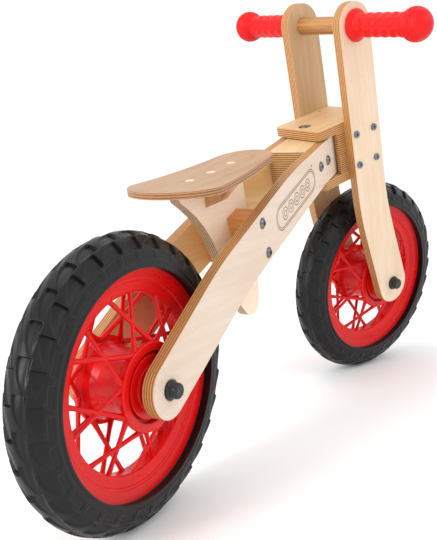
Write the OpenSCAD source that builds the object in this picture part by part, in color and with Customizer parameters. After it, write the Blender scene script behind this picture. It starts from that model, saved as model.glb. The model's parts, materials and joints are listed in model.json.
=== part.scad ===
// Balance bike for a toddler: plywood frame and fork, laminated head block, moulded spoked
// wheels and soft tyres. Lengths are in millimetres.
// Frame: +X forward, +Y to the rider's left, +Z up. The origin is on the ground, where the rear
// tyre touches it, in the frame's middle plane.

/* [Wheels] */
// Outside diameter of both tyres
wheel_d = 290; // [280:1:330]
// Width of a tyre
tyre_w = 49; // [45:1:56]
// Diameter of the moulded rim's outer edge
rim_d = 226; // [216:1:236]
// Diameter of the opening inside the rim
rim_opening_d = 174; // [160:1:184]
// Pairs of crossed spokes on each side of a wheel
spoke_pairs = 8; // [6:1:10]
// Thickness of one spoke
spoke_d = 4.6; // [3:0.2:6]
// Angle by which the rear wheel has rolled on
rear_roll = 5; // [0:1:45]
// Angle by which the front wheel has rolled on
front_roll = 6; // [0:1:45]

/* [Steering] */
// Distance between the axles with the fork straight ahead
wheelbase = 557; // [540:1:620]
// Angle by which the steering axis leans back
rake = 16; // [12:0.5:18]
// Distance of the front axle ahead of the steering axis
fork_offset = 85; // [80:1:95]
// Steering angle at rest, negative to the right
steer_rest = -20; // [-35:1:35]
// Height of the handlebar above the front axle, along the steering axis
bar_rise = 377.5; // [350:1:420]

/* [Plywood] */
// Thickness of every plywood board
ply_t = 12; // [10:0.5:14]
// Clear width between the frame plates at the rear axle
rear_inner_w = 77; // [76:0.5:90]
// Clear width between the fork blades
fork_inner_w = 81; // [79:0.5:92]
// Angle by which each frame plate turns in towards the head
toe_in = 2; // [1:0.1:2.6]
// Width of a fork blade
blade_w = 57; // [50:1:64]

/* [Seat] */
// Height of the seat's upper face above the ground, measured over the rear axle
seat_h = 304.6; // [298:0.1:340]
// Angle by which the seat rises towards the front
seat_tilt = 9.1; // [0:0.1:12]
// Length of the seat board
seat_l = 211; // [190:1:250]
// Thickness of the seat board
seat_t = 7; // [6:0.5:12]
// Width of the seat board
seat_w = 111; // [96:1:130]
// Radius to which the seat is bent along its length, both ends upwards
seat_bend_r = 1500; // [900:50:4000]

/* [Handlebar] */
// Diameter of the wooden handlebar
bar_d = 22; // [20:0.5:25]
// Distance from the middle plane to the centre of a grip's end ball
ball_y = 148; // [130:1:170]
// Diameter of a grip's end ball
ball_d = 41; // [36:1:46]
// Diameter of a grip's barrel
grip_d = 29; // [28:0.5:34]

/* [Hidden] */
$fn = 64;

// small amount by which a cutter runs past a face
past = 1;
// play between a turning piece and its neighbour
play = 0.3;
// radial clearance of a shaft in its bush
run_fit = 0.05;

birch = "#e8cfa8";
edge_brown = "#c98a4b";
red = "#d81f1f";
black = "#26282b";
zinc = "#9a9ea3";
chrome = "#d5d9dc";

// --- wheels ---
wheel_r = wheel_d / 2;
tread_r = 26;
tyre_seat_r = rim_d / 2 - 7;
tyre_seat_w = 20;
hub_half = 35;
bush_r = 6;
bush_flange_t = 1.5;
sleeve_r = 5;
axle_r = 3;
spoke_rim_r = rim_opening_d / 2 + 6;
spoke_hub_r = 40;
spoke_rim_y = 7;
spoke_hub_y = 27;
spoke_rim_splay = 10;
spoke_hub_splay = 20;

// --- steering axis: u runs forward, square to the axis, and w runs up along it ---
lean_z = sin(steer_rest) * sin(rake);
front_axle_z = (wheel_r - tread_r) * sqrt(1 - lean_z * lean_z) + tread_r;
foot_x = wheelbase - fork_offset * cos(rake);
foot_z = front_axle_z - fork_offset * cos(steer_rest) * sin(rake);
function from_axis(u, w) = [
    foot_x + u * cos(rake) - w * sin(rake),
    foot_z + u * sin(rake) + w * cos(rake)
];

// --- fork head ---
fork_half_in = fork_inner_w / 2;
fork_half_out = fork_half_in + ply_t;
blade_u = 61;
blade_front_u = blade_u + blade_w / 2 - 1;
top_plate_w = bar_rise - 128;
block_h = 56;
bottom_plate_w = top_plate_w - block_h - ply_t;
plate_back_u = -16.5;
block_back_u = 16.5;
block_relief_r = 39;
kingpin_r = 4;
kingpin_head_r = 7;
counterbore = 3.5;
head_bush_r = 5.5;
head_gap = 2;
head_bush_flange_r = 9.5;
head_top_w = top_plate_w - head_gap;
head_bottom_w = top_plate_w - block_h + head_gap;
head_front_u = 9.5;
head_back_u = -65;
// behind this the plates' edges may leave the head's flat faces, clear of the fork's plates
head_sweep_u = -33;
head_mid_w = (head_top_w + head_bottom_w) / 2;

// --- frame plates ---
rear_half_in = rear_inner_w / 2;
rear_half_out = rear_half_in + ply_t;
dropout_r = 28;
arm_rise = 31;
spot_depth = 0.4;
function plate_in(x) = rear_half_in - x * tan(toe_in);
function plate_out(x) = plate_in(x) + ply_t;

// --- spacer blocks and seat post ---
spacer_at = [205.5, 255];
spacer_lean = 21;
spacer_depth = 24;
spacer_h = 60;
spacer_bolt_pitch = 37.5;
function on_spacer(along, up) = [
    spacer_at.x + along * cos(spacer_lean) - up * sin(spacer_lean),
    spacer_at.y + along * sin(spacer_lean) + up * cos(spacer_lean)
];
post_half = ply_t / 2;
seat_under = seat_t;
seat_back_x = 60;
seat_bend_x = 180;
seat_round = 45;
seat_nose_reach = 34;
seat_nose_half = 36;
bend_room = 8;
function seat_rise(x) = seat_bend_r - sqrt(pow(seat_bend_r, 2) - pow(x - seat_bend_x, 2));
function seat_top(x) = seat_h + x * tan(seat_tilt);
function seat_bottom(x) = seat_top(x) - seat_under / cos(seat_tilt);
seat_screw_x = [126.5, 168, 212];
plug_r = 5;
plug_t = 2;
seat_screw_l = 22;
seat_screw_head_t = 2.5;
seat_head_z = seat_under - plug_t - seat_screw_head_t;
gusset_x = 140;
gusset_reach = 37;
gusset_drop = 25;

// --- fasteners ---
bolt_r = 3;
sleeve_nut_r = 4;
bolt_head_r = 6.5;
bolt_head_h = 3.5;
cross_bolts = [
    on_spacer(0, spacer_bolt_pitch / 2), on_spacer(0, -spacer_bolt_pitch / 2),
    from_axis(-45, head_mid_w), from_axis(-20, head_mid_w)
];
screw_r = 2.5;
screw_head_r = 4.5;
screw_head_h = 2.5;
screw_l = 34;
blade_screws = [
    for (u = [blade_u - 20, blade_u + 15], up = [7, block_h - 7]) [u, top_plate_w - block_h + up]
];
cap_r = 10;
cap_nose_r = 7.6;
cap_bore_r = 6.4;
cap_l = 11;
hex_r = 5.7;
hex_h = 4;
washer_t = 1;

// --- grips ---
grip_flange_d = ball_d - 1;
grip_flange_t = 5;
bar_half = ball_y + 4;

// Rounded outline: every corner is [x, y, radius]
function unit(v) = v / norm(v);
function arc_steps(r, sweep) = max(ceil(abs(sweep) / 9), ceil(r * abs(sweep) * PI / 180 / 20));
function corner(a, b, c) =
    let (
        p = [b.x, b.y],
        back = unit([a.x, a.y] - p),
        on = unit([c.x, c.y] - p),
        half = acos(back * on) / 2,
        centre = p + unit(back + on) * b.z / sin(half),
        first = p + back * b.z / tan(half) - centre,
        start = atan2(first.y, first.x),
        sweep = -sign(cross(back, on)) * (180 - 2 * half),
        n = arc_steps(b.z, sweep)
    )
    b.z == 0 ? [p] : [
        for (i = [0:n]) centre + b.z * [cos(start + sweep * i / n), sin(start + sweep * i / n)]
    ];
function rounded(pts) =
    let (n = len(pts))
    [for (i = [0:n - 1]) each corner(pts[(i + n - 1) % n], pts[i], pts[(i + 1) % n])];
function with_r(p, r) = [p.x, p.y, r];
function mirrored(pts) = [for (i = [len(pts) - 1:-1:0]) [pts[i].x, -pts[i].y]];

// Stands an outline drawn in x and z upright, from y0 to y0 + t
module upright(y0, t) {
    translate([0, y0 + t, 0]) rotate([90, 0, 0]) linear_extrude(t) children();
}

// A cylinder along Y from y0 to y1 through the point p = [x, z]
module rod_y(p, r, y0, y1, sides = 64) {
    translate([p.x, y0, p.y]) rotate([-90, 0, 0]) cylinder(h = y1 - y0, r = r, $fn = sides);
}

// Puts children drawn in (u, y, w) on the turned steering axis
module on_fork() {
    translate([foot_x, 0, foot_z]) rotate([0, -rake, 0]) rotate([0, 0, steer_rest]) children();
}

// Puts children drawn in (u, y, w) on the frame's own head
module on_head() {
    translate([foot_x, 0, foot_z]) rotate([0, -rake, 0]) children();
}

// side is -1 for the right and 1 for the left
module frame_plate(side) {
    arm = [cos(arm_rise), sin(arm_rise)];
    up = [-sin(arm_rise), cos(arm_rise)];
    axle = [0, wheel_r];
    outline = rounded([
        with_r(axle + dropout_r * (up - arm), dropout_r - 0.5),
        with_r(axle - dropout_r * (up + arm), dropout_r - 0.5),
        [164, 207, 600],
        with_r(from_axis(head_sweep_u, head_bottom_w), 20),
        with_r(from_axis(head_front_u, head_bottom_w), 5),
        with_r(from_axis(head_front_u, head_top_w), 5),
        with_r(from_axis(head_sweep_u, head_top_w), 60),
        [280, 322.5, 500],
        [100, 242, 400]
    ]);
    color(birch) difference() {
        translate([0, side * rear_half_in, 0]) rotate([0, 0, -side * toe_in])
            upright(side > 0 ? 0 : -ply_t, ply_t) polygon(outline);
        rod_y(axle, axle_r + run_fit, -100, 100);
        // spot faces keep the axle and bolt heads square to a plate that toes in
        spot_face(axle, cap_r + 1, side, rear_half_out);
        for (p = cross_bolts) {
            rod_y(p, sleeve_nut_r, -100, 100);
            spot_face(p, bolt_head_r + 0.5, side, plate_out(p.x));
        }
        // blind locating hole beside the head
        if (side < 0)
            rod_y(from_axis(-75, head_mid_w + 12), 1.5, -plate_out(340) - past, -plate_out(340) + 4);
    }
}
module spot_face(p, r, side, y) {
    rod_y(p, r, side > 0 ? y - spot_depth : -y - ply_t, side > 0 ? y + ply_t : -y + spot_depth);
}

// The wedge between the two frame plates, for the pieces that they clamp
module between_plates() {
    reach = wheelbase;
    linear_extrude(wheelbase) polygon([
        [0, -plate_in(0)], [reach, -plate_in(reach)], [reach, plate_in(reach)], [0, plate_in(0)]
    ]);
}

module head_block() {
    color(birch) difference() {
        intersection() {
            between_plates();
            on_head() translate([head_back_u, -60, head_bottom_w])
                cube([head_front_u - 1 - head_back_u, 120, head_top_w - head_bottom_w]);
        }
        on_head() translate([0, 0, head_bottom_w - past])
            cylinder(h = head_top_w - head_bottom_w + 2 * past, r = head_bush_r);
        for (p = cross_bolts) rod_y(p, sleeve_nut_r, -60, 60);
    }
}

module head_bush(up) {
    l = 16;
    color("#efe9dc") on_head()
        translate([0, 0, up > 0 ? head_top_w : head_bottom_w]) mirror([0, 0, up > 0 ? 0 : 1])
            difference() {
                union() {
                    translate([0, 0, -l]) cylinder(h = l, r = head_bush_r);
                    cylinder(h = head_gap - play, r = head_bush_flange_r);
                }
                translate([0, 0, -l - past]) cylinder(h = l + head_gap + 2 * past, r = kingpin_r + run_fit);
            }
}

module spacer_block(side) {
    color(edge_brown) difference() {
        intersection() {
            between_plates();
            upright(side > 0 ? post_half : -60, 60 - post_half) polygon([
                on_spacer(-spacer_depth / 2, -spacer_h / 2), on_spacer(spacer_depth / 2, -spacer_h / 2),
                on_spacer(spacer_depth / 2, spacer_h / 2), on_spacer(-spacer_depth / 2, spacer_h / 2)
            ]);
        }
        for (p = cross_bolts) rod_y(p, sleeve_nut_r, -60, 60);
    }
}

// Outline of the upright board that carries the seat
module seat_post_plate() {
    color(birch) difference() {
        upright(-post_half, ply_t) polygon(rounded([
            [88, seat_bottom(88) + bend_room, 1],
            [97, seat_bottom(97) - 8, 6],
            [141, 279, 150],
            [204, 177, 40],
            [225, 156.5, 16],
            [252, 156.5, 17],
            [251, 189, 60],
            [218, seat_bottom(218) + bend_room, 1]
        ]));
        for (p = cross_bolts) rod_y(p, sleeve_nut_r, -60, 60);
        seat_screw_shanks();
        on_seat() seat_bend(seat_bend_r + seat_t + play);
    }
}

// Puts children on the seat: x along the board from the rear axle, z up from its lower face
module on_seat() {
    translate([0, 0, seat_h]) rotate([0, -seat_tilt, 0]) translate([0, 0, -seat_under]) children();
}

// Cylinder across the seat with its lowest line under the middle of the bend
module seat_bend(r) {
    translate([seat_bend_x, 0, seat_t + seat_bend_r]) rotate([90, 0, 0])
        cylinder(h = 2 * seat_w, r = r, center = true, $fn = 720);
}

module seat_gusset(side) {
    reach = gusset_reach;
    color(edge_brown) on_seat() difference() {
        translate([gusset_x, 0, 0]) rotate([90, 0, 90])
            linear_extrude(ply_t) mirror([side > 0 ? 0 : 1, 0]) polygon([
                [post_half, bend_room], [post_half, -gusset_drop],
                [post_half + reach * 0.55, -gusset_drop * 0.7],
                [post_half + reach, -2], [post_half + reach, bend_room]
            ]);
        seat_bend(seat_bend_r + seat_t + play);
    }
}

// Half an ellipse's points, from its widest on one side round its end to its widest on the other
function seat_end(centre, reach, half, turn) =
    [for (t = [-84:6:84]) [centre + reach * cos(t + turn), half * sin(t + turn)]];

// Outline of the seat: wide and round behind, tapering straight to a narrow round nose
function seat_outline() = concat(
    seat_end(seat_back_x + seat_round, seat_round, seat_w / 2, 180),
    seat_end(seat_back_x + seat_l - seat_nose_reach, seat_nose_reach, seat_nose_half, 0)
);

module seat_screw_shanks() {
    on_seat() for (x = seat_screw_x)
        translate([x, 0, -seat_screw_l]) cylinder(h = seat_screw_l + past, r = 2);
}
module seat_board() {
    color(birch) difference() {
        on_seat() intersection() {
            linear_extrude(seat_under + bend_room) polygon(seat_outline());
            difference() {
                seat_bend(seat_bend_r + seat_t);
                seat_bend(seat_bend_r);
            }
        }
        on_seat() for (x = seat_screw_x) {
            translate([x, 0, -past]) cylinder(h = seat_under, r = 2);
            translate([x, 0, seat_head_z]) cylinder(h = seat_under - seat_head_z + bend_room, r = plug_r);
        }
    }
}
module seat_screws() {
    color(zinc) on_seat() for (x = seat_screw_x) {
        translate([x, 0, -seat_screw_l]) cylinder(h = seat_screw_l + seat_head_z, r = 2);
        translate([x, 0, seat_head_z]) cylinder(h = seat_screw_head_t, r = 4.2);
    }
}
module seat_plugs() {
    color("#f3e3c6") on_seat() for (x = seat_screw_x)
        translate([x, 0, seat_under - plug_t]) cylinder(h = plug_t + seat_rise(x), r = plug_r);
}

// Domed head with a hex socket, its seat at z = 0 and its dome upwards
module dome_head(r, h, socket) {
    sphere_r = (r * r + h * h) / (2 * h);
    difference() {
        intersection() {
            cylinder(h = h, r = r);
            translate([0, 0, h - sphere_r]) sphere(r = sphere_r);
        }
        translate([0, 0, h * 0.35]) cylinder(h = h, r = socket, $fn = 6);
    }
}
module frame_bolts() {
    color(chrome) for (p = cross_bolts) {
        seat = -plate_out(p.x) + spot_depth;
        rod_y(p, bolt_r, seat, plate_in(p.x));
        translate([p.x, seat, p.y]) rotate([90, 0, 0]) dome_head(bolt_head_r, bolt_head_h, 2.6);
    }
}
module frame_sleeve_nuts() {
    color(chrome) for (p = cross_bolts) {
        seat = plate_out(p.x) - spot_depth;
        difference() {
            rod_y(p, sleeve_nut_r, -plate_in(p.x) + ply_t, seat);
            rod_y(p, bolt_r, -60, plate_in(p.x));
        }
        translate([p.x, seat, p.y]) rotate([-90, 0, 0]) dome_head(bolt_head_r, bolt_head_h, 2.6);
    }
}

// --- axles: each is drawn on the Y axis, between boards whose faces are at half_in and half_out ---
module axle_bolt(half_out) {
    color(zinc) {
        rod_y([0, 0], axle_r, -half_out - washer_t, half_out + washer_t + hex_h + 1);
        rod_y([0, 0], hex_r, -half_out - washer_t - hex_h, -half_out - washer_t, 6);
    }
}
module axle_nut(half_out) {
    color(zinc) difference() {
        rod_y([0, 0], hex_r, half_out + washer_t, half_out + washer_t + hex_h, 6);
        rod_y([0, 0], axle_r, 0, half_out + 20);
    }
}
module axle_washers(half_out) {
    color(zinc) for (side = [-1, 1]) difference() {
        rod_y([0, 0], cap_bore_r - 0.4, side > 0 ? half_out : -half_out - washer_t,
              side > 0 ? half_out + washer_t : -half_out);
        rod_y([0, 0], axle_r, -half_out - 2, half_out + 2);
    }
}
module axle_sleeve(half_in) {
    color(zinc) difference() {
        rod_y([0, 0], sleeve_r, -half_in, half_in);
        rod_y([0, 0], axle_r, -half_in - past, half_in + past);
    }
}
module thrust_washers(half_in) {
    inner = hub_half + bush_flange_t + play;
    color("#efe9dc") for (side = [-1, 1]) difference() {
        rod_y([0, 0], 9, side > 0 ? inner : -half_in, side > 0 ? half_in : -inner);
        rod_y([0, 0], sleeve_r, -half_in - past, half_in + past);
    }
}
module axle_cap(half_out) {
    translate([0, half_out, 0]) rotate([-90, 0, 0]) rotate_extrude() polygon([
        [cap_bore_r, 0], [cap_r, 0], [cap_r, 1.6], [cap_r - 0.8, 2.4], [cap_nose_r + 0.6, 2.6],
        [cap_nose_r, 3.4], [cap_nose_r - 0.5, cap_l - 1.6], [cap_nose_r - 2, cap_l], [0, cap_l],
        [0, cap_l - 2], [cap_bore_r, cap_l - 2]
    ]);
}
module axle_caps(half_out) {
    color(black) {
        axle_cap(half_out);
        mirror([0, 1, 0]) axle_cap(half_out);
    }
}

// --- wheels, drawn on the Y axis ---
module tyre() {
    edge = rim_d / 2 + play;
    shoulder = wheel_r - tread_r;
    color(black) rotate([-90, 0, 0]) rotate_extrude($fn = 96) union() {
        intersection() {
            translate([shoulder, 0]) circle(r = tread_r);
            translate([shoulder, -tyre_w / 2]) square([tread_r + past, tyre_w]);
        }
        polygon([
            [shoulder, -tyre_w / 2], [shoulder, tyre_w / 2], [edge, 15], [edge, tyre_seat_w / 2],
            [tyre_seat_r, tyre_seat_w / 2], [tyre_seat_r, -tyre_seat_w / 2], [edge, -tyre_seat_w / 2],
            [edge, -15]
        ]);
    }
}
// Section of the rim, from the tyre channel round to the opening, for y > 0
rim_section = [
    [tyre_seat_r - play, tyre_seat_w / 2], [rim_d / 2, tyre_seat_w / 2], [rim_d / 2, 13.6],
    [rim_d / 2 - 1.2, 14.4], [rim_d / 2 - 12, 11], [rim_d / 2 - 14, 9.4],
    [rim_opening_d / 2 + 2.5, 8.6], [rim_opening_d / 2, 6.5]
];
// Section of the hub for y > 0: nose, stepped disc, groove, flange ring and drum
hub_nose_r = 14.2;
hub_step_r = 22;
hub_disc_r = 31;
hub_ring_in = 34.5;
hub_ring_out = 43.5;
drum_r = 36.5;
hub_section = [
    [bush_r, hub_half], [hub_nose_r, hub_half], [hub_nose_r, 31.5], [hub_step_r, 31.5],
    [hub_step_r, 29.5], [hub_disc_r, 29.5], [hub_disc_r, 27], [11, 27], [11, 1.5],
    [hub_ring_in, 1.5], [hub_ring_in, 30],
    [hub_ring_out - 1, 30], [hub_ring_out, 29], [hub_ring_out, 25], [drum_r, 22]
];
module spoke(angle, turn, side) {
    from_a = angle + turn * spoke_hub_splay;
    to_a = angle - turn * spoke_rim_splay;
    from = [spoke_hub_r * cos(from_a), side * spoke_hub_y, spoke_hub_r * sin(from_a)];
    to = [spoke_rim_r * cos(to_a), side * spoke_rim_y, spoke_rim_r * sin(to_a)];
    run = to - from;
    translate(from) rotate([0, acos(run.z / norm(run)), atan2(run.y, run.x)])
        cylinder(h = norm(run), d = spoke_d, $fn = 24);
}
module wheel(roll) {
    pitch = 360 / spoke_pairs;
    color(red) {
        rotate([-90, 0, 0]) rotate_extrude($fn = 96) polygon(concat(rim_section, mirrored(rim_section)));
        rotate([-90, 0, 0]) rotate_extrude($fn = 96) polygon(concat(hub_section, mirrored(hub_section)));
        for (i = [0:spoke_pairs - 1], turn = [-1, 1]) {
            spoke(90 + roll + i * pitch, turn, -1);
            spoke(90 + roll + (i + 0.5) * pitch, turn, 1);
        }
    }
}
module wheel_bushes() {
    l = 15;
    color("#efe9dc") for (side = [0, 1]) mirror([0, side, 0]) difference() {
        union() {
            rod_y([0, 0], bush_r, hub_half - l, hub_half);
            rod_y([0, 0], 9, hub_half, hub_half + bush_flange_t);
        }
        rod_y([0, 0], sleeve_r + run_fit, 0, hub_half + 10);
    }
}
module at_rear_axle() {
    translate([0, 0, wheel_r]) children();
}
module at_front_axle() {
    on_fork() translate([fork_offset, 0, 0]) children();
}

// --- fork, drawn in (u, y, w) ---
module fork_blade(side) {
    half = blade_w / 2;
    foot_r = half + 0.5;
    knee_w = 130;
    down = unit([fork_offset - blade_u, -knee_w]);
    mitre = half * tan(atan2(down.x, -down.y) / 2);
    out = [-down.y, down.x];
    foot = [fork_offset, 0];
    outline = rounded([
        [blade_u - half, bar_rise + half, half - 0.5],
        [blade_u - half, knee_w - mitre, 400],
        with_r(foot - foot_r * out + foot_r * down, foot_r - 0.5),
        with_r(foot + foot_r * out + foot_r * down, foot_r - 0.5),
        [blade_u + half, knee_w + mitre, 400],
        [blade_u + half, bar_rise + half, half - 0.5]
    ]);
    color(birch) on_fork() difference() {
        upright(side > 0 ? fork_half_in : -fork_half_out, ply_t) polygon(outline);
        rod_y(foot, axle_r + run_fit, -100, 100);
        rod_y([blade_u, bar_rise], bar_d / 2, -100, 100);
        for (p = blade_screws) rod_y(p, screw_r, -100, 100);
    }
}
module fork_block() {
    front = blade_front_u - 4;
    color(birch) on_fork() difference() {
        translate([block_back_u, -fork_half_in, top_plate_w - block_h])
            cube([front - block_back_u, fork_inner_w, block_h]);
        // the back is hollowed about the kingpin so that the head's corners clear it
        translate([0, 0, top_plate_w - block_h - past]) cylinder(h = block_h + 2 * past, r = block_relief_r);
        for (p = blade_screws) {
            rod_y(p, screw_r, -fork_half_in - past, -fork_half_out + screw_l);
            rod_y(p, screw_r, fork_half_out - screw_l, fork_half_in + past);
        }
        plate_pin_holes();
    }
}
plate_pins = [[63, -32], [63, 32]];
module plate_pin_holes() {
    for (p = plate_pins) translate([p.x, p.y, top_plate_w - 18]) cylinder(h = 18 + ply_t + past, r = 2);
}
// Board across the fork above or below the head
module fork_cross_plate(w) {
    corners = rounded([
        [plate_back_u, -fork_half_in, 5], [blade_front_u, -fork_half_in, 1],
        [blade_front_u, fork_half_in, 1], [plate_back_u, fork_half_in, 5]
    ]);
    translate([0, 0, w]) linear_extrude(ply_t) polygon(corners);
}
module fork_top_plate() {
    color(birch) on_fork() difference() {
        fork_cross_plate(top_plate_w);
        translate([0, 0, top_plate_w - past]) cylinder(h = ply_t + 2 * past, r = kingpin_r);
        translate([0, 0, top_plate_w + ply_t - counterbore])
            cylinder(h = counterbore + past, r = kingpin_head_r + 1.5);
        plate_pin_holes();
    }
}
module fork_bottom_plate() {
    color(birch) on_fork() difference() {
        fork_cross_plate(bottom_plate_w);
        translate([0, 0, bottom_plate_w - past]) cylinder(h = ply_t + 2 * past, r = kingpin_r);
    }
}
module fork_screws() {
    color(zinc) on_fork() for (side = [0, 1], p = blade_screws) mirror([0, side, 0]) {
        rod_y(p, screw_r, fork_half_out - screw_l, fork_half_out);
        translate([p.x, fork_half_out, p.y]) rotate([-90, 0, 0]) difference() {
            cylinder(h = screw_head_h, r = screw_head_r);
            translate([0, 0, 0.8]) cylinder(h = screw_head_h, r = 2.2, $fn = 6);
        }
    }
}
module fork_plate_pins() {
    color(edge_brown) on_fork() for (p = plate_pins)
        translate([p.x, p.y, top_plate_w - 18]) cylinder(h = 18 + ply_t, r = 2);
}
module kingpin_bolt() {
    seat = top_plate_w + ply_t - counterbore;
    color(chrome) on_fork() {
        translate([0, 0, bottom_plate_w - 10]) cylinder(h = seat - bottom_plate_w + 10, r = kingpin_r);
        translate([0, 0, seat]) dome_head(kingpin_head_r, 5, 3);
    }
}
module kingpin_washer() {
    color(zinc) on_fork() translate([0, 0, bottom_plate_w - 1.6]) difference() {
        cylinder(h = 1.6, r = 8.5);
        translate([0, 0, -past]) cylinder(h = 4, r = kingpin_r);
    }
}
module kingpin_nut() {
    color(zinc) on_fork() translate([0, 0, bottom_plate_w - 8.6]) difference() {
        cylinder(h = 7, r = 7.5, $fn = 6);
        translate([0, 0, -past]) cylinder(h = 9, r = kingpin_r);
    }
}
module handlebar() {
    color(edge_brown) on_fork() rod_y([blade_u, bar_rise], bar_d / 2, -bar_half, bar_half);
}
module grip(side) {
    start = fork_half_out;
    r = grip_d / 2;
    color(red) on_fork() translate([blade_u, 0, bar_rise])
        mirror([0, side > 0 ? 0 : 1, 0]) rotate([-90, 0, 0])
        difference() {
            union() {
                translate([0, 0, start]) rotate_extrude() polygon([
                    [0, 0], [grip_flange_d / 2 - 1, 0], [grip_flange_d / 2, 1.2], [grip_flange_d / 2, 3.5],
                    [grip_flange_d / 2 - 2, grip_flange_t], [r + 1, grip_flange_t + 3.5],
                    [0, grip_flange_t + 3.5]
                ]);
                translate([0, 0, start]) cylinder(h = ball_y - start, r = r);
                translate([0, 0, ball_y]) sphere(d = ball_d, $fn = 64);
            }
            translate([0, 0, start - past]) cylinder(h = bar_half - start + past, r = bar_d / 2);
        }
}

frame_plate(-1);  // frame_plate_right
frame_plate(1);  // frame_plate_left
head_block();
head_bush(1);  // head_bush_upper
head_bush(-1);  // head_bush_lower
seat_post_plate();
spacer_block(-1);  // spacer_block_right
spacer_block(1);  // spacer_block_left
seat_gusset(-1);  // seat_gusset_right
seat_gusset(1);  // seat_gusset_left
seat_board();
seat_screws();
seat_plugs();
frame_bolts();
frame_sleeve_nuts();
at_rear_axle() axle_bolt(rear_half_out - spot_depth);  // rear_axle_bolt
at_rear_axle() axle_nut(rear_half_out - spot_depth);  // rear_axle_nut
at_rear_axle() axle_washers(rear_half_out - spot_depth);  // rear_axle_washers
at_rear_axle() axle_sleeve(rear_half_in - play);  // rear_axle_sleeve
at_rear_axle() thrust_washers(rear_half_in - play);  // rear_thrust_washers
at_rear_axle() axle_caps(rear_half_out - spot_depth);  // rear_axle_caps
fork_blade(-1);  // fork_blade_right
fork_blade(1);  // fork_blade_left
fork_block();
fork_top_plate();
fork_bottom_plate();
fork_screws();
fork_plate_pins();
kingpin_bolt();
kingpin_washer();
kingpin_nut();
handlebar();
grip(-1);  // grip_right
grip(1);  // grip_left
at_front_axle() axle_bolt(fork_half_out);  // front_axle_bolt
at_front_axle() axle_nut(fork_half_out);  // front_axle_nut
at_front_axle() axle_washers(fork_half_out);  // front_axle_washers
at_front_axle() axle_sleeve(fork_half_in);  // front_axle_sleeve
at_front_axle() thrust_washers(fork_half_in);  // front_thrust_washers
at_front_axle() axle_caps(fork_half_out);  // front_axle_caps
at_rear_axle() tyre();  // rear_tyre
at_rear_axle() wheel(rear_roll);  // rear_wheel
at_rear_axle() wheel_bushes();  // rear_wheel_bushes
at_front_axle() tyre();  // front_tyre
at_front_axle() wheel(front_roll);  // front_wheel
at_front_axle() wheel_bushes();  // front_wheel_bushes
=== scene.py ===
"""Looks of the balance bike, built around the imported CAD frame. Lengths in metres unless a name says mm."""
import bpy, bmesh, json, math
from mathutils import Matrix, Vector


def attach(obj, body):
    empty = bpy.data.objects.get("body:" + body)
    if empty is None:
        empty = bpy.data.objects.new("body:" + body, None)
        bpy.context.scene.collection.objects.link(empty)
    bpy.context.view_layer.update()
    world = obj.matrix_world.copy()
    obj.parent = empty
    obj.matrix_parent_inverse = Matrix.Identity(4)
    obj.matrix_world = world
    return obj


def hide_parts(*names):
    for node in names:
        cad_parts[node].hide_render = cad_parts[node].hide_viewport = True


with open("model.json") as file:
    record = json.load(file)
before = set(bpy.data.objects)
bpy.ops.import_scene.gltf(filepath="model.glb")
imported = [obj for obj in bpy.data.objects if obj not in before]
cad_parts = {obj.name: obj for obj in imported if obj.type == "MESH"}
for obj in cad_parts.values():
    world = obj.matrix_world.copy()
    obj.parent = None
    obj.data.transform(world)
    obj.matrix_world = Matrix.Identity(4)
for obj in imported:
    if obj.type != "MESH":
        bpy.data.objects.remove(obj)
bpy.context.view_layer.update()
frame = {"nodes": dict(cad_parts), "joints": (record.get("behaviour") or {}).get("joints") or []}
MM = 0.001
rad = math.radians

# --- local frames ---------------------------------------------------------------------------
# angles of the steering axis, the fork's turn at rest, the plates' toe-in and the seat; then sizes in mm
RAKE, STEER, TOE, TILT = rad(16), rad(-20), rad(2), rad(9.1)
WHEEL_R, FORK_OFFSET = 145, 85
SEAT_H, SEAT_T = 304.6, 7
PLY_T, PLATE_Y, BLADE_Y = 12, 38.5, 46.5
BAR_X, BAR_Z = 61, 377.5
# middle heights of the fork's top board, the laminated blocks and the fork's bottom board, along the axis
TOP_Z, BLOCK_Z, BOTTOM_Z = 255.5, 221.5, 187.5
steering = next(j for j in frame["joints"] if j["name"] == "steering")


def T(x, y, z):
    return Matrix.Translation((x * MM, y * MM, z * MM))


def R(angle, axis):
    return Matrix.Rotation(angle, 4, axis)


FORK = Matrix.Translation(steering["pos_m"]) @ R(-RAKE, "Y") @ R(STEER, "Z")
HEAD = Matrix.Translation(steering["pos_m"]) @ R(-RAKE, "Y")
REAR = T(0, 0, WHEEL_R)
FRONT = FORK @ T(FORK_OFFSET, 0, 0)
FLAT = R(rad(90), "X")
SEAT = T(0, 0, SEAT_H) @ R(-TILT, "Y") @ T(0, 0, -SEAT_T / 2) @ FLAT
BAR = FORK @ T(BAR_X, 0, BAR_Z)
SPACER = T(205.5, 0, 255) @ R(rad(-21), "Y")
PLAIN = Matrix.Identity(4)
# the seat is level at BEND_X along its length and rises by SEAT_BEND times the distance squared, in mm
BEND_X, SEAT_BEND = 180.0, 1 / 3000


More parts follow.
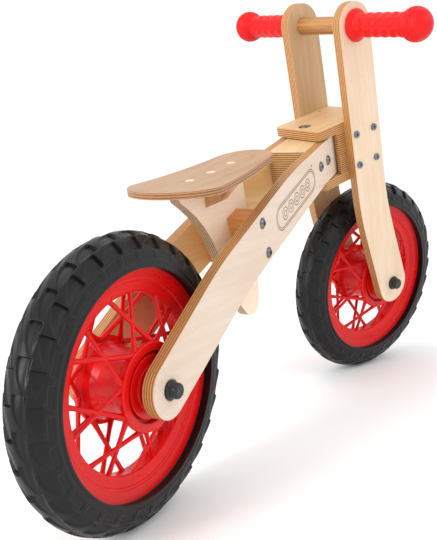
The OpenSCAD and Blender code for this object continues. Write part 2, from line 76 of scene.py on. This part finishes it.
# --- material helpers -----------------------------------------------------------------------
class Graph:
    """A material whose nodes are added by short calls; values and sockets are both accepted."""

    def __init__(self, name, rough, metallic=0.0, coat=0.0, coat_rough=0.2, specular=0.5):
        self.m = bpy.data.materials.new(name)
        self.m.use_nodes = True
        self.t = self.m.node_tree
        self.t.nodes.clear()
        self.out = self.t.nodes.new("ShaderNodeOutputMaterial")
        self.b = self.t.nodes.new("ShaderNodeBsdfPrincipled")
        self.t.links.new(self.b.outputs[0], self.out.inputs[0])
        self.b.inputs["Roughness"].default_value = rough
        self.b.inputs["Metallic"].default_value = metallic
        self.b.inputs["Coat Weight"].default_value = coat
        self.b.inputs["Coat Roughness"].default_value = coat_rough
        self.b.inputs["Specular IOR Level"].default_value = specular
        self.tc = self.t.nodes.new("ShaderNodeTexCoord")

    def put(self, socket, value):
        if isinstance(value, bpy.types.NodeSocket):
            self.t.links.new(value, socket)
        else:
            socket.default_value = value

    def math(self, op, a, b=0.0, c=0.0):
        n = self.t.nodes.new("ShaderNodeMath")
        n.operation = op
        for i, v in enumerate((a, b, c)):
            self.put(n.inputs[i], v)
        return n.outputs[0]

    def remap(self, v, a, b, c=0.0, d=1.0):
        n = self.t.nodes.new("ShaderNodeMapRange")
        for k, x in (("Value", v), ("From Min", a), ("From Max", b), ("To Min", c), ("To Max", d)):
            self.put(n.inputs[k], x)
        return n.outputs[0]

    def distance(self, a, b):
        return self.math("SQRT", self.math("ADD", self.math("MULTIPLY", a, a), self.math("MULTIPLY", b, b)))

    def xyz(self, vector):
        n = self.t.nodes.new("ShaderNodeSeparateXYZ")
        self.put(n.inputs[0], vector)
        return n.outputs

    def mapped(self, scale=(1, 1, 1), loc=(0, 0, 0), rot=(0, 0, 0), vector=None):
        n = self.t.nodes.new("ShaderNodeMapping")
        self.put(n.inputs["Vector"], vector or self.tc.outputs["Object"])
        n.inputs["Location"].default_value = loc
        n.inputs["Rotation"].default_value = rot
        n.inputs["Scale"].default_value = scale
        return n.outputs[0]

    def noise(self, vector, scale, detail=4.0, rough=0.55, distortion=0.0):
        n = self.t.nodes.new("ShaderNodeTexNoise")
        self.put(n.inputs["Vector"], vector)
        values = (("Scale", scale), ("Detail", detail), ("Roughness", rough), ("Distortion", distortion))
        for k, v in values:
            n.inputs[k].default_value = v
        return n.outputs[0]

    def mix(self, f, a, b, kind="MIX"):
        n = self.t.nodes.new("ShaderNodeMix")
        n.data_type = "RGBA"
        n.blend_type = kind
        for s, v in ((n.inputs[0], f), (n.inputs[6], a), (n.inputs[7], b)):
            self.put(s, (*v, 1.0) if isinstance(v, tuple) and len(v) == 3 else v)
        return n.outputs[2]

    def bump(self, height, strength, distance, below=None):
        n = self.t.nodes.new("ShaderNodeBump")
        n.inputs["Strength"].default_value = strength
        n.inputs["Distance"].default_value = distance
        self.put(n.inputs["Height"], height)
        if below is not None:
            self.put(n.inputs["Normal"], below)
        return n.outputs[0]


def srgb(r, g, b):
    """An sRGB colour of 0 to 255 as linear values."""
    return tuple(((c / 255) / 12.92 if c <= 10 else ((c / 255 + 0.055) / 1.055) ** 2.4) for c in (r, g, b))


# the engraving on the right-hand plate, in mm: its centre in the plate's own frame, its turn, and its sizes
MOTIF, MOTIF_TURN = (292 / math.cos(TOE), 290), rad(22)
SLOT_HALF, SLOT_R, BORDER_W = 46.0, 15.0, 2.6
RING_PITCH, RING_RADII, ROW_HALF = 18.0, (7.4, 3.4), 45.0
FAR = 99.0


def engraving(g, facing):
    """A mask of engraved lines: a double border with round ends, and a row of double rings inside it."""
    centred = g.mapped((1000, 1000, 1000), (-MOTIF[0], 0, -MOTIF[1]))
    along, _, across = g.xyz(g.mapped(vector=centred, rot=(0, MOTIF_TURN, 0)))
    size = g.math("ABSOLUTE", along)
    past_straight = g.math("MAXIMUM", g.math("SUBTRACT", size, SLOT_HALF), 0.0)
    border = g.math("SUBTRACT", g.distance(past_straight, across), SLOT_R)
    cell = g.math("FRACT", g.math("ADD", g.math("DIVIDE", along, RING_PITCH), 0.5))
    cell = g.math("SUBTRACT", g.math("MULTIPLY", cell, RING_PITCH), RING_PITCH / 2)
    from_centre = g.distance(cell, across)
    past_row = g.math("MULTIPLY", g.math("GREATER_THAN", size, ROW_HALF), FAR)
    lines = [border, g.math("ADD", border, BORDER_W)]
    lines += [g.math("ADD", g.math("SUBTRACT", from_centre, r), past_row) for r in RING_RADII]
    near = g.math("ABSOLUTE", lines[0])
    for line in lines[1:]:
        near = g.math("MINIMUM", near, g.math("ABSOLUTE", line))
    return g.math("MULTIPLY", g.remap(near, 0.34, 0.75, 1.0, 0.0), g.math("LESS_THAN", facing, -0.9))


def ply(
    name, face, face_dark, edge, edge_dark, along="X", seed=0.0, period=2.667, phase=6.0, motif=False,
    bend=0.0,
):
    """Birch plywood, its thickness along local Y: veneers show as stripes wherever the surface cuts them.

    With a bend, the veneers rise along X on both sides of BEND_X by bend times the distance squared.
    """
    g = Graph(name, 0.46, coat=0.12, coat_rough=0.35, specular=0.4)
    shift = (seed * 1.7, seed * 0.9, seed * 2.3)
    s = {"X": (4, 70, 70), "Z": (70, 70, 4)}[along]
    slow = g.noise(g.mapped((3, 3, 3), shift), 3.0, 2.0)
    streak = g.noise(g.mapped(s, shift), 1.6, 6.0, 0.6, 0.35)
    fine = g.noise(g.mapped(tuple(v * 6 for v in s), shift), 2.2, 3.0, 0.6)
    fleck = g.noise(g.mapped(tuple(v * (4 if v > 9 else 9) for v in s), shift), 2.6, 1.0)
    tone = g.math("ADD", g.math("MULTIPLY", streak, 0.65), g.math("MULTIPLY", slow, 0.35))
    c = g.mix(g.remap(tone, 0.36, 0.66), face, face_dark)
    c = g.mix(g.remap(fine, 0.45, 0.75, 0.0, 0.22), c, face_dark)
    c = g.mix(g.remap(fleck, 0.66, 0.74, 0.0, 0.35), c, edge)
    p, nrm = g.xyz(g.tc.outputs["Object"]), g.xyz(g.tc.outputs["Normal"])
    y_mm = g.math("MULTIPLY", p[1], 1000.0)
    if bend:
        away = g.math("SUBTRACT", g.math("MULTIPLY", p[0], 1000.0), BEND_X)
        y_mm = g.math("SUBTRACT", y_mm, g.math("MULTIPLY", g.math("MULTIPLY", away, away), bend))
    layer = g.math("FRACT", g.math("DIVIDE", g.math("ADD", y_mm, phase), period))
    stripe = g.math("MULTIPLY", g.remap(layer, 0.46, 0.54), g.remap(layer, 0.95, 1.0, 1.0, 0.0))
    glue = g.math("SUBTRACT", 1.0, g.remap(g.math("ABSOLUTE", g.math("SUBTRACT", layer, 0.5)), 0.02, 0.08))
    cut = g.noise(g.mapped((260, 60, 260), shift), 2.0, 3.0)
    ends = g.mix(g.remap(stripe, 0.0, 1.0), edge, edge_dark)
    ends = g.mix(g.remap(glue, 0.0, 1.0, 0.0, 0.55), ends, tuple(v * 0.45 for v in edge_dark))
    ends = g.mix(g.remap(cut, 0.4, 0.75, 0.0, 0.35), ends, edge_dark)
    side = g.remap(g.math("ABSOLUTE", nrm[1]), 0.45, 0.9, 1.0, 0.0)
    c = g.mix(side, c, ends)
    groove = g.math("MULTIPLY", g.math("MULTIPLY", stripe, side), -0.5)
    height = g.math("ADD", g.math("MULTIPLY", fine, 0.5), groove)
    normal = g.bump(height, 0.25, 0.0003)
    if motif:
        line = engraving(g, nrm[1])
        c = g.mix(g.math("MULTIPLY", line, 0.9), c, srgb(104, 74, 50))
        normal = g.bump(g.math("MULTIPLY", line, -1.0), 0.8, 0.0006, normal)
    g.put(g.b.inputs["Base Color"], c)
    g.put(g.b.inputs["Roughness"], g.remap(fine, 0.3, 0.7, 0.40, 0.56))
    g.put(g.b.inputs["Normal"], normal)
    return g.m


def timber(name, light, dark, along="Y", seed=0.0, rough=0.48, contrast=(0.38, 0.62)):
    """Solid wood with its grain along one local axis."""
    g = Graph(name, rough, coat=0.15, coat_rough=0.3, specular=0.4)
    k = {"X": (3, 60, 60), "Y": (60, 3, 60), "Z": (60, 60, 3)}[along]
    shift = (seed, seed * 2.1, seed * 0.7)
    band = g.noise(g.mapped(k, shift), 1.8, 6.0, 0.65, 0.6)
    fine = g.noise(g.mapped(tuple(v * 7 for v in k), shift), 2.0, 3.0)
    c = g.mix(g.remap(band, *contrast), light, dark)
    c = g.mix(g.remap(fine, 0.5, 0.78, 0.0, 0.5), c, tuple(v * 0.45 for v in dark))
    g.put(g.b.inputs["Base Color"], c)
    g.put(g.b.inputs["Roughness"], g.remap(fine, 0.3, 0.7, rough - 0.06, rough + 0.1))
    g.put(g.b.inputs["Normal"], g.bump(fine, 0.3, 0.0003))
    return g.m


def plastic(name, colour, deep, rough, grain=900.0, bump=0.08, specular=0.5):
    """Moulded plastic: faint colour drift, fine texture, roughness that varies a little."""
    g = Graph(name, rough, coat_rough=0.12, specular=specular)
    o = g.tc.outputs["Object"]
    drift = g.noise(o, 14.0, 3.0)
    fine = g.noise(o, grain, 2.0)
    g.put(g.b.inputs["Base Color"], g.mix(g.remap(drift, 0.3, 0.7), colour, deep))
    g.put(g.b.inputs["Roughness"], g.remap(g.noise(o, 55.0, 4.0), 0.3, 0.7, rough - 0.05, rough + 0.07))
    g.put(g.b.inputs["Normal"], g.bump(fine, bump, 0.0002))
    return g.m


def metal(name, colour, rough, scratch=0.0):
    """Bare metal with a faint drift of colour and fine scratches."""
    g = Graph(name, rough, metallic=1.0)
    o = g.tc.outputs["Object"]
    n = g.noise(g.mapped((400, 400, 400)), 2.0, 4.0)
    drift = g.remap(g.noise(o, 160.0, 3.0), 0.3, 0.7)
    g.put(g.b.inputs["Base Color"], g.mix(drift, colour, tuple(v * 0.8 for v in colour)))
    g.put(g.b.inputs["Roughness"], g.remap(n, 0.3, 0.7, max(rough - 0.06, 0.04), rough + 0.1))
    g.put(g.b.inputs["Normal"], g.bump(n, scratch, 0.0001))
    return g.m


# --- mesh helpers ---------------------------------------------------------------------------
def finish_mesh(obj, mat, body, angle, nodes):
    """Gives a piece its material, shading and body, and hides the CAD nodes that it stands for."""
    me = obj.data
    me.materials.clear()
    me.materials.append(mat)
    me.shade_smooth()
    me.set_sharp_from_angle(angle=rad(angle))
    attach(obj, body)
    if nodes:
        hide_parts(*nodes)


def new_object(name, verts, faces, M):
    me = bpy.data.meshes.new(name)
    me.from_pydata([Vector(v) * MM for v in verts], [], faces)
    me.update()
    o = bpy.data.objects.new(name, me)
    bpy.context.scene.collection.objects.link(o)
    o.matrix_world = M
    return o


def sweep_faces(around, n, closed=True):
    """The faces between copies of a profile of n points that are set round an axis."""
    faces = []
    for i in range(around):
        j = (i + 1) % around
        for k in range(n if closed else n - 1):
            l = (k + 1) % n
            faces.append((i * n + k, i * n + l, j * n + l, j * n + k))
    return faces


def clean(obj, weld=True):
    bm = bmesh.new()
    bm.from_mesh(obj.data)
    if weld:
        bmesh.ops.remove_doubles(bm, verts=bm.verts, dist=1e-7)
    bmesh.ops.recalc_face_normals(bm, faces=bm.faces)
    bm.to_mesh(obj.data)
    bm.free()


def fillet(points, radius, closed=True, steps=4):
    """Rounds the corners of a profile, by at most 40% of the shorter neighbouring side."""
    n, out = len(points), []
    for i, p in enumerate(points):
        p = Vector(p[:2])
        if not closed and i in (0, n - 1):
            out.append(p)
            continue
        a, b = Vector(points[i - 1][:2]) - p, Vector(points[(i + 1) % n][:2]) - p
        if a.length < 1e-6 or b.length < 1e-6:
            continue
        half = a.angle(b) / 2
        if half > rad(88):
            out.append(p)
            continue
        cut = min(radius / math.tan(half), a.length * 0.4, b.length * 0.4)
        p0, p1 = p + a.normalized() * cut, p + b.normalized() * cut
        for k in range(steps + 1):
            t = k / steps
            out.append((1 - t) ** 2 * p0 + 2 * t * (1 - t) * p + t * t * p1)
    return out


def lathe(name, profile, M, segs=128, closed=True):
    """Turns a profile of (radius, y) about local Y. An open profile starts and ends on the axis."""
    pts = [(max(p[0], 0.0), p[1]) for p in profile]
    verts = []
    for i in range(segs):
        a = 2 * math.pi * i / segs
        verts += [(r * math.cos(a), y, r * math.sin(a)) for r, y in pts]
    o = new_object(name, verts, sweep_faces(segs, len(pts), closed), M)
    clean(o)
    return o


def soften(node, M, width, segs=3, angle=28):
    """A copy of a CAD node in its own local frame, with its sharp edges rounded off."""
    src = frame["nodes"][node]
    me = src.data.copy()
    me.name = node + "_v"
    me.transform(M.inverted())
    bm = bmesh.new()
    bm.from_mesh(me)
    bmesh.ops.remove_doubles(bm, verts=bm.verts, dist=2e-6)
    bmesh.ops.dissolve_limit(bm, angle_limit=rad(0.5), verts=bm.verts, edges=bm.edges)
    sharp = [e for e in bm.edges if len(e.link_faces) == 2 and e.calc_face_angle(0) > rad(angle)]
    bmesh.ops.bevel(
        bm, geom=sharp, offset=width * MM, segments=segs, profile=0.5, affect="EDGES", clamp_overlap=True
    )
    bm.to_mesh(me)
    bm.free()
    o = bpy.data.objects.new(node + "_v", me)
    bpy.context.scene.collection.objects.link(o)
    o.matrix_world = M
    return o


def weigh(o):
    """Weights the normals by face area, so that flat faces beside a round edge stay flat."""
    m = o.modifiers.new("w", "WEIGHTED_NORMAL")
    m.keep_sharp = True
    bpy.context.view_layer.objects.active = o
    bpy.ops.object.modifier_apply(modifier=m.name)


# --- materials ------------------------------------------------------------------------------
cream, cream_dark = srgb(226, 208, 193), srgb(214, 191, 168)
tan, tan_dark = srgb(210, 160, 102), srgb(156, 98, 48)
M_plate_r = ply("birch_plate_right", cream, cream_dark, tan, tan_dark, "X", 1.0, motif=True)
# the left plate is the same birch ply as the right one, painted warmer and more orange: painted shade for its
# inner face inside the frame
M_plate_l_shade = ply("birch_plate_left_painted_shade", srgb(234, 198, 144), srgb(214, 168, 108), tan, tan_dark, "X", 2.0)
M_blade_r = ply("birch_blade_right", srgb(233, 210, 184), srgb(222, 194, 162), tan, tan_dark, "Z", 3.0)
# the left blade is the same birch ply as the right one, painted darker: painted shade for the far side of the
# fork
M_blade_l_shade = ply("birch_blade_left_painted_shade", srgb(206, 172, 132), srgb(186, 150, 108), tan, tan_dark, "Z", 4.0)
# the post is the same birch ply as the plates, painted paler: painted light to offset the shade between the
# frame plates
M_post_painted_light = ply(
    "birch_post_painted_light", srgb(248, 228, 206), srgb(236, 210, 182), srgb(206, 176, 140), srgb(150, 114, 80),
    "X", 5.0,
)
# the seat is the same birch ply as the plates, painted darker brown: painted shade on its top faces
M_seat_painted_shade = ply(
    "birch_seat_painted_shade", srgb(188, 150, 112), srgb(164, 122, 84), srgb(186, 136, 90), srgb(132, 84, 50), "X", 6.0,
    phase=3.5, bend=SEAT_BEND,
)
M_top = ply("birch_top_plate", srgb(220, 184, 136), srgb(202, 160, 110), tan, tan_dark, "X", 7.0)
M_bottom = ply("birch_bottom_plate", srgb(218, 184, 138), srgb(198, 160, 114), tan, tan_dark, "X", 8.0)
M_head = ply(
    "birch_head_block", srgb(228, 198, 152), srgb(212, 178, 126), srgb(218, 180, 124), srgb(138, 92, 52),
    "X", 9.0, 2.9, 0.0,
)
M_block = ply(
    "birch_fork_block", srgb(218, 178, 122), srgb(194, 148, 94), srgb(208, 152, 92), srgb(128, 78, 40),
    "X", 10.0, 2.9, 0.0,
)
M_spacer = timber("spacer_wood", srgb(248, 180, 106), srgb(218, 140, 74), "Y", 1.0)
M_gusset = timber("gusset_wood", srgb(208, 156, 110), srgb(184, 128, 84), "Y", 2.0)
M_bar = timber("dowel_wood", srgb(196, 140, 82), srgb(132, 82, 40), "Y", 3.0, 0.42, (0.40, 0.66))
M_plug = timber("plug_wood", srgb(240, 222, 188), srgb(222, 196, 150), "X", 4.0)
M_red = plastic("red_moulding", srgb(224, 10, 12), srgb(208, 5, 8), 0.30, specular=0.28)
M_grip = plastic("red_grip", srgb(226, 14, 16), srgb(212, 8, 11), 0.42, 1400.0, 0.15, 0.26)
M_cap = plastic("black_cap", srgb(22, 23, 25), srgb(15, 16, 17), 0.32)
M_nylon = plastic("nylon", srgb(232, 228, 216), srgb(222, 214, 198), 0.5)
# the bolt heads' steel is painted far darker than polished steel: a painted dark reflection, which the white
# surroundings would not give
M_chrome_painted_dark = metal("steel_painted_dark_reflection", srgb(120, 121, 124), 0.14)
M_zinc = metal("zinc_steel", srgb(128, 138, 152), 0.34, 0.2)


def tyre_material():
    g = Graph("foam_tyre", 0.36, specular=0.26)
    o = g.tc.outputs["Object"]
    drift, mottle, pores = g.noise(o, 9.0, 3.0), g.noise(o, 60.0, 5.0, 0.6), g.noise(o, 1500.0, 2.0)
    c = g.mix(g.remap(drift, 0.3, 0.7), srgb(22, 22, 24), srgb(13, 13, 14))
    c = g.mix(g.remap(mottle, 0.5, 0.8, 0.0, 0.3), c, srgb(38, 38, 40))
    g.put(g.b.inputs["Base Color"], c)
    g.put(g.b.inputs["Roughness"], g.remap(mottle, 0.3, 0.7, 0.26, 0.44))
    g.put(g.b.inputs["Normal"], g.bump(pores, 0.12, 0.0002, g.bump(mottle, 0.1, 0.001)))
    return g.m


M_tyre = tyre_material()

# --- boards and blocks ----------------------------------------------------------------------
for side, tag, mat in ((-1, "right", M_plate_r), (1, "left", M_plate_l_shade)):
    plate = T(0, side * PLATE_Y, 0) @ R(-side * TOE, "Z") @ T(0, side * PLY_T / 2, 0)
    o = soften("frame_plate_" + tag, plate, 1.8)
    finish_mesh(o, mat, "frame", 40, ["frame_plate_" + tag])
    weigh(o)
for side, tag, mat in ((-1, "right", M_blade_r), (1, "left", M_blade_l_shade)):
    o = soften("fork_blade_" + tag, FORK @ T(0, side * BLADE_Y, 0), 2.4, 4)
    finish_mesh(o, mat, "fork", 40, ["fork_blade_" + tag])
    weigh(o)
for node, M, mat, body, width, slot in (
    ("seat_post_plate", PLAIN, M_post_painted_light, "frame", 1.2, "birch_ply"),
    ("seat_board", SEAT, M_seat_painted_shade, "frame", 2.6, "birch_ply"),
    ("fork_top_plate", FORK @ T(0, 0, TOP_Z) @ FLAT, M_top, "fork", 1.4, "birch_ply"),
    ("fork_bottom_plate", FORK @ T(0, 0, BOTTOM_Z) @ FLAT, M_bottom, "fork", 1.4, "birch_ply"),
    ("head_block", HEAD @ T(0, 0, BLOCK_Z) @ FLAT, M_head, "frame", 0.8, "laminated_birch"),
    ("fork_block", FORK @ T(0, 0, BLOCK_Z) @ FLAT, M_block, "fork", 0.8, "laminated_birch"),
    ("spacer_block_right", SPACER, M_spacer, "frame", 1.0, "brown_hardwood"),
    ("spacer_block_left", SPACER, M_spacer, "frame", 1.0, "brown_hardwood"),
    ("seat_gusset_right", SEAT, M_gusset, "frame", 0.8, "brown_hardwood"),
    ("seat_gusset_left", SEAT, M_gusset, "frame", 0.8, "brown_hardwood"),
):
    o = soften(node, M, width)
    finish_mesh(o, mat, body, 40, [node])
    weigh(o)
for node, M, mat, body, width in (
    ("frame_bolts", PLAIN, M_chrome_painted_dark, "frame", 0.35),
    ("frame_sleeve_nuts", PLAIN, M_chrome_painted_dark, "frame", 0.35),
    ("kingpin_bolt", PLAIN, M_chrome_painted_dark, "fork", 0.35),
    ("fork_screws", PLAIN, M_zinc, "fork", 0.35),
    ("kingpin_nut", PLAIN, M_zinc, "fork", 0.5),
    ("kingpin_washer", PLAIN, M_zinc, "fork", 0.25),
):
    o = soften(node, M, width, 2)
    finish_mesh(o, mat, body, 35, [node])
# what has no piece of its own keeps its CAD mesh, and only gets a material
for node, o in frame["nodes"].items():
    if o.hide_render:
        continue
    o.data.materials.clear()
    mat = M_nylon if ("bush" in node or "thrust" in node) else M_zinc
    mat = {"seat_plugs": M_plug, "fork_plate_pins": M_bar}.get(node, mat)
    o.data.materials.append(mat)


# --- wheels ---------------------------------------------------------------------------------
# one half of each profile, as (radius, distance from the wheel's middle plane)
RIM = [
    (105.7, 10), (113, 10), (113, 13.7), (112.2, 14.3), (101.6, 11.2), (100.2, 11.3), (98.8, 10.6),
    (98.0, 9.2), (90.5, 8.6), (88, 8.2), (87, 6.5),
]
HUB = [
    (6.2, 35), (14.2, 35), (14.2, 31.3), (22, 31.3), (22, 29.3), (31, 28.8), (31, 23), (34.6, 23), (34.6, 29.6),
    (35.6, 30), (42.4, 30), (43.5, 29), (43.5, 25.2), (38.5, 22.4), (35.5, 16), (34, 8),
]


def both(profile):
    """A half profile and its mirror image, as one closed outline."""
    return profile + [(r, -y) for r, y in reversed(profile)]


def tube(verts, faces, a, b, radii, sides=14):
    """A round bar from a to b whose radius follows radii, spaced evenly."""
    d = (b - a).normalized()
    u = d.orthogonal().normalized()
    w = d.cross(u)
    base, n = len(verts), len(radii)
    for i, r in enumerate(radii):
        c = a + (b - a) * (i / (n - 1))
        for k in range(sides):
            t = 2 * math.pi * k / sides
            verts.append(c + (u * math.cos(t) + w * math.sin(t)) * r)
    for i in range(n - 1):
        for k in range(sides):
            l = (k + 1) % sides
            near, far = base + i * sides, base + (i + 1) * sides
            faces.append((near + k, near + l, far + l, far + k))


# pairs of spokes on each side; each end's radius and distance from the middle plane; the lean at each end
PAIRS, HUB_END, RIM_END, HUB_LEAN, RIM_LEAN = 8, (41, 25.5), (89, 5), 20, 10
SPOKE_RADII = [3.4, 2.8, 2.4, 2.3, 2.25, 2.25, 2.25, 2.25, 2.3, 2.5, 2.9]


def wheel(tag, M, body, roll, node):
    """Rim, hub and two crossed sets of spokes, the left set half a pitch on from the right set."""
    o = lathe(tag + "_rim", fillet(both(RIM), 0.9), M, 160)
    finish_mesh(o, M_red, body, 50, [node])
    o = lathe(tag + "_hub", fillet(both(HUB), 0.9), M, 96)
    finish_mesh(o, M_red, body, 50, [])
    verts, faces = [], []
    pitch = 360 / PAIRS
    for i in range(PAIRS):
        for turn in (-1, 1):
            for side, start in ((-1, 0.0), (1, pitch / 2)):
                at = 90 + roll + start + pitch * i
                a0, a1 = rad(at + turn * HUB_LEAN), rad(at - turn * RIM_LEAN)
                (r0, y0), (r1, y1) = HUB_END, RIM_END
                p0 = Vector((r0 * math.cos(a0), side * y0, r0 * math.sin(a0)))
                p1 = Vector((r1 * math.cos(a1), side * y1, r1 * math.sin(a1)))
                tube(verts, faces, p0, p1, SPOKE_RADII)
    o = new_object(tag + "_spokes", verts, faces, M)
    finish_mesh(o, M_red, body, 60, [])


LUGS, AROUND, ACROSS = 30, 1200, 130
TREAD_EDGE = 61
# each row of lugs on one half of the tread: its step's angle round the tyre, then where it starts, ends
# and fades, as angles from the crown
ROWS = ((9.6, 0, 25, 31), (1.3, 31, 60, 64))


def clamp(v):
    return min(max(v, 0.0), 1.0)


def tread_depth(theta, phi):
    """Depth below the tyre's full section, at phi degrees from the crown towards the right-hand side.

    Each lug ends in a step, and the hollow after it narrows along a curve and rises back to the surface.
    The left half is the right half turned about a radius, so its lugs point the other way.
    """
    pitch = 360 / LUGS
    turn = theta if phi >= 0 else 11.2 - theta
    phi, d = abs(phi), 0.0
    for step, start, end, fade in ROWS:
        u = ((turn - step) / pitch) % 1.0
        wall = clamp((phi - start - (end - start) * u * u) / 3)
        d += 3.0 * (1 - u) ** 1.1 * wall * clamp((fade - phi) / (fade - end))
    if phi > TREAD_EDGE:
        u = ((turn - 4.0) / pitch) % 1.0
        window = clamp((0.40 - abs(u - 0.5)) / 0.05) * clamp((phi - 67) / 3) * clamp((86 - phi) / 3)
        d += 1.3 * clamp((phi - TREAD_EDGE) / 2) * clamp((100 - phi) / 4) + 0.9 * window
    return d


def tyre(tag, M, body, node):
    """A squashed circle that tucks in to the rim, with the tread cut into it point by point."""
    verts, path = [], []
    centre_r, half_h, half_w, top = 118, 26.95, 24.35, rad(104)
    for k in range(ACROSS + 1):
        phi = top * (1 - 2 * k / ACROSS)
        c, s = math.cos(phi), -math.sin(phi)
        path.append((centre_r + half_h * c, half_w * s, c, s, math.degrees(phi)))
    inner = [(112.6, 17.0), (113.2, 14.8), (108, 12), (108, -12), (113.2, -14.8), (112.6, -17.0)]
    for i in range(AROUND):
        t = 2 * math.pi * i / AROUND
        c, s = math.cos(t), math.sin(t)
        for r, y, nr, ny, phi in path:
            d = tread_depth(math.degrees(t), phi)
            rr, yy = r - d * nr, y - d * ny
            verts.append((rr * c, yy, rr * s))
        verts += [(r * c, y, r * s) for r, y in inner]
    o = new_object(tag + "_tread", verts, sweep_faces(AROUND, len(path) + len(inner)), M)
    clean(o, weld=False)
    finish_mesh(o, M_tyre, body, 60, [node])


for tag, M, body, roll in (("rear", REAR, "rear_wheel_body", 5), ("front", FRONT, "front_wheel_body", 6)):
    wheel(tag, M, body, roll, tag + "_wheel")
    tyre(tag, M, body, tag + "_tyre")

# --- axle caps ------------------------------------------------------------------------------
CAP = [
    (6.4, 0), (10, 0), (10, 1.8), (9.2, 2.6), (8.3, 2.9), (8.1, 4), (7.6, 9.4), (6.2, 10.8), (4.6, 11),
    (0, 10.7), (0, 9), (6.4, 9),
]
for tag, M, body, half in (("rear", REAR, "frame", 50.1), ("front", FRONT, "fork", 52.5)):
    for side, name in ((-1, "right"), (1, "left")):
        prof = fillet([(r, side * (half + y)) for r, y in CAP], 0.6)
        o = lathe("%s_cap_%s" % (tag, name), prof, M, 64)
        finish_mesh(o, M_cap, body, 40, [tag + "_axle_caps"])

# --- handlebar and grips --------------------------------------------------------------------
o = lathe("bar_dowel", fillet([(0, -152), (11, -152), (11, 152), (0, 152)], 0.8, False), BAR, 64, False)
finish_mesh(o, M_bar, "fork", 40, ["handlebar"])


def grip(side, name):
    """A flange, a barrel with wavy rows of dimples, and a ball end with ridges round it."""
    segs, step, turn_step = 144, 0.8, 0.028
    flange, ball_y, ball_r, bore = 52.5, 148.0, 20.4, 11.1
    start, end = flange + 11, ball_y - 15.2
    row, ridge, ridged_to = 6.7, 3.0, ball_y + 6.5
    # each point of the profile: radius, distance along the bar, whether on the barrel, whether ridged
    neck = [
        (bore, flange), (18.6, flange), (20.0, flange + 1.4), (20.0, flange + 3.6), (18.2, flange + 6.2),
        (15.4, flange + 8.6), (14.5, flange + 10.5),
    ]
    prof = [(r, y, 0.0, 0.0) for r, y in fillet(neck, 1.0, False, 3)]
    y = start
    while y < end:
        prof.append((14.4, y, 1.0, 0.0))
        y += step
    a = math.asin(14.2 / ball_r)
    while a < math.pi:
        y = ball_y - ball_r * math.cos(a)
        prof.append((ball_r * math.sin(math.pi - a), y, 0.0, 1.0 if y < ridged_to else 0.0))
        a += turn_step
    tip = ball_y + ball_r
    prof += [(r, tip - down, 0, 0) for r, down in ((1.6, 0.2), (1.3, 0.7), (1.2, 5), (0, 5))]
    verts = []
    for i in range(segs):
        t = 2 * math.pi * i / segs
        for r, y, barrel, ridged in prof:
            if barrel:
                along = y - start
                fade = min(along / 3, (end - y) / 3, 1.0)
                wave = math.cos(2 * math.pi * along / (2 * row) + 0.7 * math.sin(3 * t))
                offset = 0 if math.floor(along / row) % 2 else math.pi
                dimple = math.cos(9 * t + offset) * abs(math.sin(math.pi * along / row))
                r += (0.5 * wave - 1.0 * max(dimple, 0)) * max(fade, 0)
            if ridged:
                r -= 0.8 * (0.5 + 0.5 * math.cos(2 * math.pi * y / ridge)) ** 2
            verts.append((r * math.cos(t), side * y, r * math.sin(t)))
    o = new_object("grip_%s_v" % name, verts, sweep_faces(segs, len(prof), closed=False), BAR)
    clean(o)
    finish_mesh(o, M_grip, "fork", 55, ["grip_" + name])


grip(-1, "right")
grip(1, "left")

# --- stage ----------------------------------------------------------------------------------
bpy.ops.mesh.primitive_plane_add(size=60, location=(0.3, 0, 0))
floor = bpy.context.object
floor.name = "floor"
g = Graph("floor_pale", 0.7)
pale = g.remap(g.noise(g.tc.outputs["Object"], 3.0, 2.0), 0.3, 0.7)
g.put(g.b.inputs["Base Color"], g.mix(pale, (0.975, 0.975, 0.975), (0.965, 0.965, 0.965)))
floor.data.materials.append(g.m)

world = bpy.data.worlds.new("soft")
bpy.context.scene.world = world
world.use_nodes = True
world.node_tree.nodes["Background"].inputs[0].default_value = (1.0, 1.0, 1.0, 1.0)
world.node_tree.nodes["Background"].inputs[1].default_value = 1.05


def softbox(name, at, size, watts, aim=(0.25, 0, 0.2)):
    data = bpy.data.lights.new(name, "AREA")
    data.shape, data.size, data.size_y = "RECTANGLE", size[0], size[1]
    data.energy = watts
    o = bpy.data.objects.new(name, data)
    bpy.context.scene.collection.objects.link(o)
    o.location = at
    o.rotation_euler = (Vector(aim) - Vector(at)).to_track_quat("-Z", "Y").to_euler()


softbox("key", (0.5, -1.8, 1.3), (1.4, 0.9), 5)
softbox("rear_fill", (-1.7, 0.6, 1.1), (0.5, 1.0), 20)
softbox("top", (0.2, 0.5, 2.0), (1.0, 1.0), 4)

# --- camera ---------------------------------------------------------------------------------
yaw, pitch, roll = 0.4976, 0.2391, -0.0336
SENSOR, LONG_SIDE, FOCAL = 36.0, 540, 761.0
fwd = Vector((math.cos(pitch) * math.cos(yaw), math.cos(pitch) * math.sin(yaw), -math.sin(pitch)))
right0 = Vector((math.sin(yaw), -math.cos(yaw), 0))
up0 = right0.cross(fwd)
right = right0 * math.cos(roll) + up0 * math.sin(roll)
up = up0 * math.cos(roll) - right0 * math.sin(roll)
cam = bpy.data.cameras.new("camera")
cam.sensor_width, cam.lens = SENSOR, FOCAL * SENSOR / LONG_SIDE
cam.shift_x, cam.shift_y = -52.35 / LONG_SIDE, 35.25 / LONG_SIDE
cam.clip_start, cam.clip_end = 0.02, 50
eye = bpy.data.objects.new("camera", cam)
bpy.context.scene.collection.objects.link(eye)
m = Matrix((right, up, -fwd)).transposed().to_4x4()
m.translation = Vector((-0.5385, -0.4509, 0.3841))
eye.matrix_world = m
bpy.context.scene.camera = eye
bpy.context.scene.view_settings.view_transform = "Standard"
